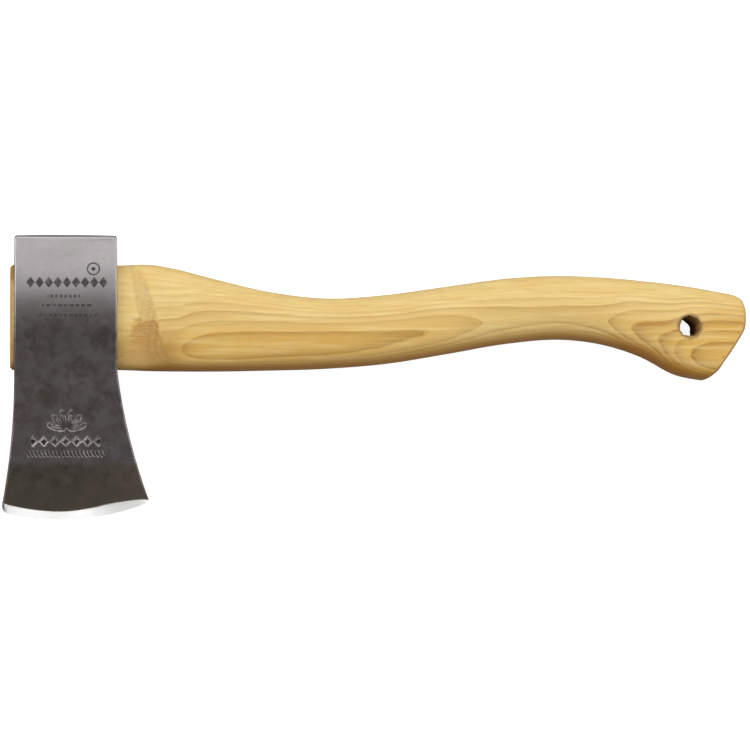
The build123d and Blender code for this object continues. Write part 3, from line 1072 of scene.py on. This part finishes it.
sizes = {"Vector": None, "Ring Width": RING_WIDTH, "Unevenness": 0.3}
rings, given, result = new_group("growth_rings", sizes, ("Ring", "Late Wood", "Number"))
x, y, z = split(rings, given.outputs["Vector"])
across = y * cos(RING_TILT) + z * sin(RING_TILT)
outward = z * cos(RING_TILT) - y * sin(RING_TILT)
wander = drawn_curve(rings, x, TRUNK_WANDER)
drift = noise_wire(rings, scaled(rings, given.outputs["Vector"], (0.018, 0.07, 0.07)), 1.0, 2.0)
fine_drift = noise_wire(rings, scaled(rings, given.outputs["Vector"], (0.05, 0.45, 0.45)), 1.0, 2.0)
depth = outward + across * across * RING_BEND / 2 - wander - FIRST_RING
depth = depth + (drift - 0.5) * 2 * Wire(rings, given.outputs["Unevenness"]) + (fine_drift - 0.5) * 0.22
number = depth / Wire(rings, given.outputs["Ring Width"])
ring = number.math("FRACT")
whole = number.math("FLOOR")
own = add_node(rings, "ShaderNodeTexWhiteNoise", {"noise_dimensions": "1D"}, W=whole)
strength = Wire(rings, own.outputs["Value"]) * 0.5 + 0.5
late = (ring * LATE_WOOD_FALL).math("EXPONENT") * ramp(ring, 0.0, 0.03)
late = late.high(ramp(ring, 0.93, 1.0))
plug(rings, result.inputs["Ring"], ring)
plug(rings, result.inputs["Late Wood"], late * strength)
plug(rings, result.inputs["Number"], number)
count_nodes("growth rings", rings)

# %% [markdown]
# ### Fibres and pores
# Between the ring lines, wood shows its long fibres as fine streaks, and ash has open pores that look like
# short scratches. Both are noise that is drawn out along the haft: the streaks very long, the pores shorter
# and only where the noise is highest.

# %% The fibre group
fibres, given, result = new_group("fibres", {"Vector": None, "Fineness": 1.0}, ("Streaks", "Pores"))
fine = Wire(fibres, given.outputs["Fineness"])
long_way = scaled(fibres, given.outputs["Vector"], (0.03, 1.1, 1.1))
short_way = scaled(fibres, given.outputs["Vector"], (0.16, 3.4, 3.4))
streaks = noise_wire(fibres, long_way, fine, 5.0, 0.65)
pores = noise_wire(fibres, short_way, fine, 2.0, 0.5)
plug(fibres, result.inputs["Streaks"], ramp(streaks, 0.3, 0.7))
plug(fibres, result.inputs["Pores"], ramp(pores, 0.58, 0.72))
count_nodes("fibres", fibres)

# %% [markdown]
# ### Oiled ash
# Ash is pale between its rings and tan just inside each ring line. The rings nearer the bark are fainter,
# and the wood deeper in is warmer. End grain drinks more oil, so it is darker: the material knows it by how
# far the surface faces along the haft. A brown patch crosses the shoulder where one ring is cut nearly flat.

# %% Haft wood: rings, fibres and pores
SAPWOOD = (0.83, 0.63, 0.255)
HEARTWOOD = (0.74, 0.455, 0.105)
LATE_WOOD = (0.36, 0.165, 0.026)
STREAK_TAN = (0.62, 0.36, 0.085)
PALE_STREAK = (0.90, 0.74, 0.36)
PORE_BROWN = (0.36, 0.20, 0.07)

tree, shader, place = start_material(haft_wood)
where = split(tree, place)
grain = place_group(tree, rings, Vector=place)
strands = place_group(tree, fibres, Vector=place, Fineness=1.0)
stretched = scaled(tree, place, (0.35, 1, 1))
clouds = place_group(tree, mottling, Vector=stretched, Blotch_Size=14.0, Speck_Size=1.2)
inner = ramp(grain["Number"], 0.2, 2.6)
body = colour_mix(tree, inner * 0.7 + clouds["Blotches"] * 0.24, SAPWOOD, HEARTWOOD)
in_knob = ramp(where[0], 250.0, 285.0) * ramp(where[1], 5.0, -5.0)
line_strength = ramp(grain["Number"], -4.0, 1.0, 0.22, 1.0) + in_knob * 0.6
lined = colour_mix(tree, (grain["Late Wood"] * line_strength).low(1.0) * 0.86, body, LATE_WOOD)
streaked = colour_mix(tree, strands["Streaks"] * 0.42, lined, STREAK_TAN)
long_bands = noise_wire(tree, scaled(tree, place, (0.018, 0.33, 0.33), (3, 7, 1)), 1.0, 4.0, 0.6)
streaked = colour_mix(tree, ramp(long_bands, 0.45, 0.7) * 0.3, streaked, PALE_STREAK)
early_pores = strands["Pores"] * ramp(grain["Ring"], 0.0, 0.5, 0.35, 0.10)
pored = colour_mix(tree, early_pores, streaked, PORE_BROWN)
count_nodes("haft wood so far", tree)

# %% [markdown]
# ### Where the wood drinks oil
# Cut across the fibres, wood soaks up oil and turns brown. That happens at the tenon's ends, at the knob's
# end, on the slope of the shoulder, and in one patch beside the head, whose rim is ragged because it follows
# the fibres. Each is a mask, and the strongest one at a point decides.

# %% Haft wood: end grain and the soaked shoulder
OILED_END = (0.40, 0.19, 0.035)
SOAKED_PATCH = (41.0, -11.0)  # its middle, in mm about the eye
SOAKED_SIZE = (8.5, 8.0)
CREST_HALF = 11.7 * MM  # half the haft's thickness where the shoulder's slope ends
SHOULDER_CREST = (HEAD_WIDTH / 2 + NECK_LENGTH + (CREST_HALF - NECK_HALF) / SHOULDER_SLOPE) / MM
OUT_OF_EYE = -HEAD_WIDTH / 2 / MM  # the tenon stands out of the head from here on


def facing(tree, axis):
    """How far the surface faces along an axis, from -1 to 1."""
    normal = tree.nodes.new("ShaderNodeTexCoord").outputs["Normal"]
    return split(tree, normal)[axis]


end_grain = ramp(facing(tree, 0).abs(), 0.1, 0.85)
slope = ramp(-facing(tree, 0), 0.12, 0.3) * ramp(where[0], 60.0, 55.0)
ragged = (noise_wire(tree, scaled(tree, place, (0.07, 0.17, 0.17)), 1.0, 4.0, 0.6) - 0.5) * 5.0
along, up = [(where[k] - SOAKED_PATCH[k]) / SOAKED_SIZE[k] for k in (0, 1)]
from_soak = along ** 2.0 + up ** 2.0 + ragged
crest = ramp(where[0] + where[1] * SHOULDER_LEAN, SHOULDER_CREST - 0.3, SHOULDER_CREST + 0.3, 1.0, 0.0)
soaked = ramp(from_soak, 0.5, 1.5, 1.0, 0.0) * crest
low_on_neck = ramp(where[0], 64.0, 50.0) * ramp(where[1], -3.0, -17.0)
lower_neck = low_on_neck * (clouds["Blotches"] * 0.3 + 0.38)
neck = (soaked * (strands["Streaks"] * 0.25 + 0.55)).high(slope * 0.16).high(lower_neck)
outside_eye = ramp(where[0], OUT_OF_EYE + 0.5, OUT_OF_EYE - 0.5)
tenon_ends = outside_eye * ramp(where[1].abs() + clouds["Blotches"] * 6, 19.0, 25.0)
oiled = (end_grain * 0.5).high(neck).high(tenon_ends * 0.9)
browned = colour_mix(tree, oiled, pored, OILED_END)
print("the shoulder's slope ends", round(SHOULDER_CREST, 1), "mm from the middle of the eye")

# %% [markdown]
# ### Use, drilling and painted shade
# The underside of the grip and the inside of the knob's curve are painted darker brown: partly the grime of
# hands that hold on there, and partly painted shade on the sides that face away from the lamps. A drill rubs
# hard on the end grain in the hole and scorches it a little, and the hole's wall and mouths are darkened
# further as painted shade. All of it is brown, so it is put on last, over the grain and the oil.

# %% Haft wood: hand grime and painted shade, the hole and the surface
BELLY_GRIME_AND_SHADE = (0.45, 0.17, 0.012)
SCORCH_AND_HOLE_SHADE_BROWN = (0.25, 0.155, 0.065)

# painted shade: faces turned towards the belly are darkened in colour, together with hand grime
belly_grime_and_shade = ramp(facing(tree, 1), -0.4, -0.95) * ramp(where[0], 27.0, 45.0)
knob_belly_grime_and_shade = ramp(facing(tree, 1), -0.3, -0.85) * ramp(where[0], 262.0, 285.0) * ramp(where[0], 326.0, 314.0)
grimed_and_shaded = colour_mix(tree, (belly_grime_and_shade * 0.8).high(knob_belly_grime_and_shade * 0.9), browned, BELLY_GRIME_AND_SHADE)
from_hole = ((where[0] - HOLE_X) ** 2.0 + (where[1] + HOLE_BELOW_AXIS) ** 2.0) ** 0.5
# painted shade: the hole's wall and its rounded mouths are darkened in colour, on top of the drill's scorch
scorch_and_hole_shade = ramp(from_hole + clouds["Specks"] * 0.7, 6.6, 7.5, 0.7, 0.0) * ramp(where[0], 300.0, 301.0)
tree.links.new(colour_mix(tree, scorch_and_hole_shade, grimed_and_shaded, SCORCH_AND_HOLE_SHADE_BROWN), shader.inputs["Base Color"])
shader.inputs["Specular IOR Level"].default_value = 0.3
roughness = clouds["Specks"] * 0.08 + end_grain * 0.2 + strands["Pores"] * 0.1 + 0.36
plug(tree, shader.inputs["Roughness"], roughness)
relief = strands["Streaks"] * 0.5 - strands["Pores"] * 0.8 - grain["Late Wood"] * 0.25
raise_bump(tree, shader, relief, 0.05)
count_nodes("haft wood", tree)

# %% [markdown]
# ### Dark wedge wood
# The wedge is of a harder, darker wood than the haft, so that it shows as a stripe in the tenon's end. It
# uses the same ring and fibre groups with wider rings, squeezed one way, because a wedge is split from any
# part of a board and its rings lie as they happen to.

# %% Wedge wood
WEDGE_BROWN = (0.42, 0.225, 0.08)
WEDGE_LATE_WOOD = (0.17, 0.075, 0.025)
WEDGE_STREAK = (0.25, 0.12, 0.04)
WEDGE_PORE = (0.08, 0.035, 0.012)

wedge_wood = bpy.data.materials.new("wedge_wood")
tree, shader, place = start_material(wedge_wood)
turned_place = scaled(tree, place, (1.0, 2.2, 0.4))
grain = place_group(tree, rings, Vector=turned_place, Ring_Width=2.2, Unevenness=0.9)
strands = place_group(tree, fibres, Vector=place, Fineness=1.6)
body = colour_mix(tree, grain["Late Wood"] * 0.7, WEDGE_BROWN, WEDGE_LATE_WOOD)
streaked = colour_mix(tree, strands["Streaks"] * 0.4, body, WEDGE_STREAK)
pored = colour_mix(tree, strands["Pores"] * 0.6, streaked, WEDGE_PORE)
tree.links.new(pored, shader.inputs["Base Color"])
plug(tree, shader.inputs["Roughness"], strands["Pores"] * 0.2 + 0.52)
raise_bump(tree, shader, strands["Streaks"] - strands["Pores"], 0.08)
count_nodes("wedge wood", tree)

# %% [markdown]
# ### The printed sign
# Such a head has dull ink printed on its cheek. Here it is a ring, a row of lozenges and rows of dashes,
# which mean nothing. Ink has no thickness worth modelling, so it is a mask in the steel's own finish, worked
# out from distances: a ring is where the distance from a point is nearly constant, and a lozenge is where
# two distances add up to less than its size. The same sums find the stamp, which is darkened in and around
# its hollows: soot, and painted shade.

# %% Masks for print and soot
NOTHING = -1.0  # below any distance, so a band from here has no inner rim


def band(value, low, high, blur=0.12):
    """1 between low and high, falling to 0 just outside."""
    return ramp(value, low - blur, low + blur) * ramp(value, high - blur, high + blur, 1.0, 0.0)


def repeat(value, spacing):
    """The place within the repeat, from minus to plus half the spacing."""
    return ((value / spacing + 0.5).math("FRACT") - 0.5) * spacing


def distance_from(x, y, middle):
    return ((x - middle[0]) ** 2.0 + (y - middle[1]) ** 2.0) ** 0.5


# %% The printed sign and the stamp's hollows
PRINTED_RING = (13.7, 23.0)
PRINTED_LOZENGES = (0.6, 16.1)
# (ends, heights, spacing, share of the spacing that is inked) of each row of dashes
DASH_ROWS = (
    ((-9.0, 7.0), (8.4, 9.9), 2.3, 0.62),
    ((-11.6, 13.5), (3.9, 5.2), 2.9, 0.74),
    ((-14.7, 17.0), (-1.1, 0.4), 2.5, 0.7),
)


def dash_row(x, y, ends, heights, spacing, fill):
    dashes = band(repeat(x, spacing).abs(), NOTHING, spacing * fill / 2)
    return dashes * band(x, *ends) * band(y, *heights)


def printed_sign(place):
    x, y, z = place
    ring = distance_from(x, y, PRINTED_RING)
    sign = band(ring, 2.6, 3.3) + band(ring, NOTHING, 1.0)
    lozenges = repeat(x - PRINTED_LOZENGES[0], 4.5).abs() * 1.3 + (y - PRINTED_LOZENGES[1]).abs()
    sign = sign + band(lozenges, NOTHING, 2.8) * band(x, -19.4, 20.6)
    for row in DASH_ROWS:
        sign = sign + dash_row(x, y, *row)
    return sign.low(1.0) * ramp(z, 4.0, 6.0)


def stamp_soot_and_shadow(x, y):
    """Where the struck stamp is darkened: scale and grime in it, and painted shade in and around it."""
    height, spacing, half_length = LOZENGE_ROW
    lozenges = repeat(x, spacing).abs() + (y - height).abs() * 0.95
    shadow = band(lozenges, NOTHING, 1.5) * band(x, -half_length, half_length)
    rope_height, _, rope_half = ROPE_ROW
    rope = band(y, rope_height - 1.3, rope_height + 1.3) * band(x, -rope_half, rope_half)
    sprig = band(distance_from(x, y, (SPRIG[0], SPRIG[1] + 5.0)), NOTHING, 4.6, 0.8)
    return shadow.high(rope * 0.6).high(sprig * 0.45)


# %% [markdown]
# ### Forged steel
# The head is blasted after forging, so it is dull. Its colour is pale at the poll and mottled dark and warm
# below the print: the darkening towards the lower cheek is painted shade, with a warm mottle in it. Below a
# wavering line it has been ground: darker, browner and streaked. In and around the stamp the colour is
# darker, soot and painted shade, and the arrises are rubbed brighter by use.

# %% Head steel: blasted and ground faces
STEEL = (0.37, 0.35, 0.35)
SHADED_WARM_STEEL = (0.102, 0.077, 0.068)
VIOLET_STEEL = (0.41, 0.375, 0.40)
GROUND_STEEL = (0.165, 0.138, 0.11)
STAIN = (0.10, 0.088, 0.07)

tree, shader, place = start_material(forged_steel)
where = split(tree, place)
clouds = place_group(tree, mottling, Vector=place, Blotch_Size=13.0, Speck_Size=0.55)
patches = place_group(tree, mottling, Vector=scaled(tree, place, (1, 1, 1), (40, 9, 0)), Blotch_Size=7.0,
                      Speck_Size=2.2)
body = colour_mix(tree, clouds["Blotches"] * 0.7, STEEL, VIOLET_STEEL)
# painted shade: the cheek's colour darkens from above the eye down to below the print, mottled warm
shade_below_print = ramp(where[1], 16.0, -6.0, 0.1, 0.9) * ramp(where[1], -42.0, -60.0, 1.0, 0.88)
shaded_warm = colour_mix(tree, (patches["Blotches"] * 0.5 + 0.5) * shade_below_print, body, SHADED_WARM_STEEL)
waver = (noise_wire(tree, place, 0.12, 3.0, 0.6) - 0.5) * 7
ground = ramp(where[1] + waver, -72.0, -76.0)
stains = ramp(noise_wire(tree, scaled(tree, place, (1, 1, 1), (11, 3, 5)), 0.21, 4.0, 0.6), 0.5, 0.62)
near_line = ramp(where[1], -92.0, -78.0) * ground
ground_look = colour_mix(tree, stains * near_line * 0.75, GROUND_STEEL, STAIN)
steel = colour_mix(tree, ground, shaded_warm, ground_look)
speckled = colour_mix(tree, clouds["Specks"] * 0.16, steel, STAIN)
count_nodes("head steel so far", tree)

# %% Head steel: soot and painted shade in the stamp, rubbed edges, ink and relief
STAMP_SOOT_AND_SHADE_COLOUR = (0.035, 0.03, 0.03)
RUBBED_STEEL = (0.62, 0.60, 0.58)
INK = (0.022, 0.018, 0.02)

edge = tree.nodes.new("ShaderNodeNewGeometry").outputs["Pointiness"]
worn = ramp(Wire(tree, edge), 0.53, 0.62) * ramp(patches["Specks"], 0.2, 0.7, 0.35, 1.0)
upper_side = ramp(where[2], 2.0, 3.0)
# painted shade: the stamp's lines, the insides of its lozenges and a disc round the sprig are darkened, with
# soot
stamp_soot_and_shade = stamp_soot_and_shadow(where[0], where[1]) * upper_side * ramp(patches["Specks"], 0.0, 0.7, 0.45, 0.85)
struck = colour_mix(tree, stamp_soot_and_shade, speckled, STAMP_SOOT_AND_SHADE_COLOUR)
rubbed = colour_mix(tree, worn * 0.35, struck, RUBBED_STEEL)
ink = printed_sign(where) * ramp(patches["Specks"], 0.0, 0.5, 0.72, 0.95)
tree.links.new(colour_mix(tree, ink, rubbed, INK), shader.inputs["Base Color"])
plug(tree, shader.inputs["Metallic"], 1.0 - ink)
base_roughness = clouds["Specks"] * 0.07 + patches["Blotches"] * 0.04 + 0.31
plug(tree, shader.inputs["Roughness"], base_roughness - worn * 0.1 + ink * 0.3)
grinding = noise_wire(tree, scaled(tree, place, (0.25, 3.2, 1.0)), 1.0, 3.0, 0.7)
pits = clouds["Specks"] * (1 - ground) * 0.8 + patches["Specks"] * (1 - ground) * 0.6
raise_bump(tree, shader, pits + grinding * ground * 0.35, 0.014)
count_nodes("head steel", tree)

# %% [markdown]
# ### Honed steel
# The bevel is the only polished face, and it mirrors nearly all the light. Fine lines from the stone run
# across it, from the blade to the edge. Its far end at the toe is darkened in colour: painted shade.

# %% Honed steel
MIRROR_STEEL = (0.90, 0.90, 0.89)
CLOUDED_STEEL = (0.74, 0.73, 0.72)
TOE_SHADE_STEEL = (0.20, 0.19, 0.18)

tree, shader, place = start_material(honed_steel)
clouds = place_group(tree, mottling, Vector=place, Blotch_Size=5.0, Speck_Size=0.4)
lines = noise_wire(tree, scaled(tree, place, (5.0, 0.35, 0.35)), 1.0, 3.0, 0.6)
bright = colour_mix(tree, clouds["Blotches"] * 0.3, MIRROR_STEEL, CLOUDED_STEEL)
# painted shade: the bevel's colour darkens towards the toe
toe_shade = ramp(split(tree, place)[0], -22.0, -40.0)
tree.links.new(colour_mix(tree, toe_shade * 0.6, bright, TOE_SHADE_STEEL), shader.inputs["Base Color"])
shader.inputs["Metallic"].default_value = 1.0
plug(tree, shader.inputs["Roughness"], lines * 0.12 + clouds["Specks"] * 0.05 + 0.24)
raise_bump(tree, shader, lines, 0.012)
count_nodes("honed steel", tree)

# %% [markdown]
# ### Ring steel
# The ring in the tenon's end is plain turned steel that has browned a little. It is small, so its blotches
# and specks are small too.

# %% Ring steel
TURNED_STEEL = (0.52, 0.50, 0.48)
BROWNED_STEEL = (0.30, 0.25, 0.21)

ring_steel = bpy.data.materials.new("ring_steel")
tree, shader, place = start_material(ring_steel)
clouds = place_group(tree, mottling, Vector=place, Blotch_Size=2.5, Speck_Size=0.3)
steel = colour_mix(tree, clouds["Blotches"] * 0.6, TURNED_STEEL, BROWNED_STEEL)
tree.links.new(steel, shader.inputs["Base Color"])
shader.inputs["Metallic"].default_value = 1.0
plug(tree, shader.inputs["Roughness"], clouds["Specks"] * 0.2 + 0.34)
raise_bump(tree, shader, clouds["Specks"], 0.04)
count_nodes("ring steel", tree)

# %% [markdown]
# ## What stands for what
# The design model stays in the frame for its weight and its contacts. The haft and the head are shown by the
# finer meshes made here, and the two wedges by their design solids, whose shape is right already and which
# only take a finish.

# %% Join the pieces to the frame
for node, material in (("wood_wedge", wedge_wood), ("steel_wedge", ring_steel)):
    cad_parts[node].material_slots[0].material = material
    print(node, "has the finish", material.name)

for piece, node, finish in ((haft, "handle", "haft_wood"), (head, "axe_head", "forged_steel")):
    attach(piece, "root")
    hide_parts(node)
    print(piece.name, "stands for", node)

# %% [markdown]
# ## Floor
# A product is shown on white paper. White paper under a dark, shiny object also lights it from below, and the
# steel would look pale. So the floor is a middling grey that gives light of its own to the camera alone: it
# looks nearly white, also through the hole in the knob, and throws little light up.

# %% Floor
FLOOR_HALF = 3.0
FLOOR_GLOW = 0.92
PAPER_GREY = (0.36, 0.36, 0.36)
PAPER_FLECK = (0.39, 0.39, 0.39)

corners = [(x * FLOOR_HALF, y * FLOOR_HALF, 0) for x, y in ((-1, -1), (1, -1), (1, 1), (-1, 1))]
floor = new_object("floor", bpy.data.meshes.new("floor"))
floor.data.from_pydata(corners, [], [(0, 1, 2, 3)])
floor_paper = bpy.data.materials.new("floor_paper")
tree, shader, place = start_material(floor_paper)
fleck = noise_wire(tree, place, 0.05, 2.0)
tree.links.new(colour_mix(tree, fleck, PAPER_GREY, PAPER_FLECK), shader.inputs["Base Color"])
shader.inputs["Roughness"].default_value = 1.0
shader.inputs["Specular IOR Level"].default_value = 0.0
shader.inputs["Emission Color"].default_value = (1, 1, 1, 1)
seen = Wire(tree, tree.nodes.new("ShaderNodeLightPath").outputs["Is Camera Ray"])
plug(tree, shader.inputs["Emission Strength"], seen * FLOOR_GLOW)
floor.data.materials.append(floor_paper)
floor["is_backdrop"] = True
print("floor", 2 * FLOOR_HALF, "m square")

# %% [markdown]
# ## Light
# Steel shows what it mirrors, so its light is a matter of where the lamps hang. One wide lamp hangs beyond
# the poll: the poll's half of the cheek mirrors it, and the hollow below the eye mirrors the dark beside it.
# A lower lamp stands in front of the cutting edge, where only the honed bevel can mirror it. The others are
# weaker and light the haft evenly from both ends and from behind.

# %% Lamps
# (name, place, width and height, in metres, watts)
LAMPS = (
    ("poll_lamp", (0.0, 0.98, 1.40), (2.4, 0.95), 17),
    ("left_lamp", (-1.5, 0.45, 1.1), (0.9, 0.9), 13),
    ("right_lamp", (1.5, 0.45, 1.1), (0.9, 0.9), 13),
    ("edge_lamp", (0.0, -0.85, 1.25), (1.8, 0.4), 4.3),
    ("knob_lamp", (1.1, -0.5, 1.2), (0.5, 0.5), 3),
    ("back_lamp", (0.0, 1.7, 0.45), (1.8, 0.5), 3),
)


def soft_lamp(name, place, size, watts):
    """A rectangular lamp that faces the hatchet."""
    lamp = bpy.data.lights.new(name, "AREA")
    lamp.shape = "RECTANGLE"
    lamp.size, lamp.size_y = size
    lamp.energy = watts
    made = bpy.data.objects.new(name, lamp)
    made.location = place
    made.rotation_euler = look_rotation(Vector(place), Vector((0, 0, 0)), Vector((0, 1, 0))).to_euler()
    bpy.context.scene.collection.objects.link(made)


for lamp_row in LAMPS:
    soft_lamp(*lamp_row)
print(len(LAMPS), "lamps,", sum(row[3] for row in LAMPS), "W")

# %% [markdown]
# ### The room
# A dim, even light from all round keeps the shadows soft. As with the floor, the camera sees it brighter than
# the hatchet does, so the backdrop is pale and the steel stays dark.

# %% The room's own light
ROOM_LIGHT = 0.06
SEEN_LIGHT = 0.85

world = bpy.data.worlds.new("studio")
bpy.context.scene.world = world
world.use_nodes = True
sky = world.node_tree.nodes["Background"]
sky.inputs["Color"].default_value = (1, 1, 1, 1)
seen = world.node_tree.nodes.new("ShaderNodeLightPath").outputs["Is Camera Ray"]
plug(world.node_tree, sky.inputs["Strength"], Wire(world.node_tree, seen) * SEEN_LIGHT + ROOM_LIGHT)
bpy.context.scene.view_settings.view_transform = "Standard"
count_nodes("room", world.node_tree)

# %% [markdown]
# ## Sizes
# The finer pieces have to fit where the design's solids fit, so the box of the whole hatchet is written
# beside the design's box, and the difference is printed in millimetres.

# %% Write the sizes and finish
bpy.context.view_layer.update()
growth = [round((b - a) / MM, 2) for pair in zip(DESIGN_BOX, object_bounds()) for a, b in zip(*pair)]
print("visual box against design box", growth)
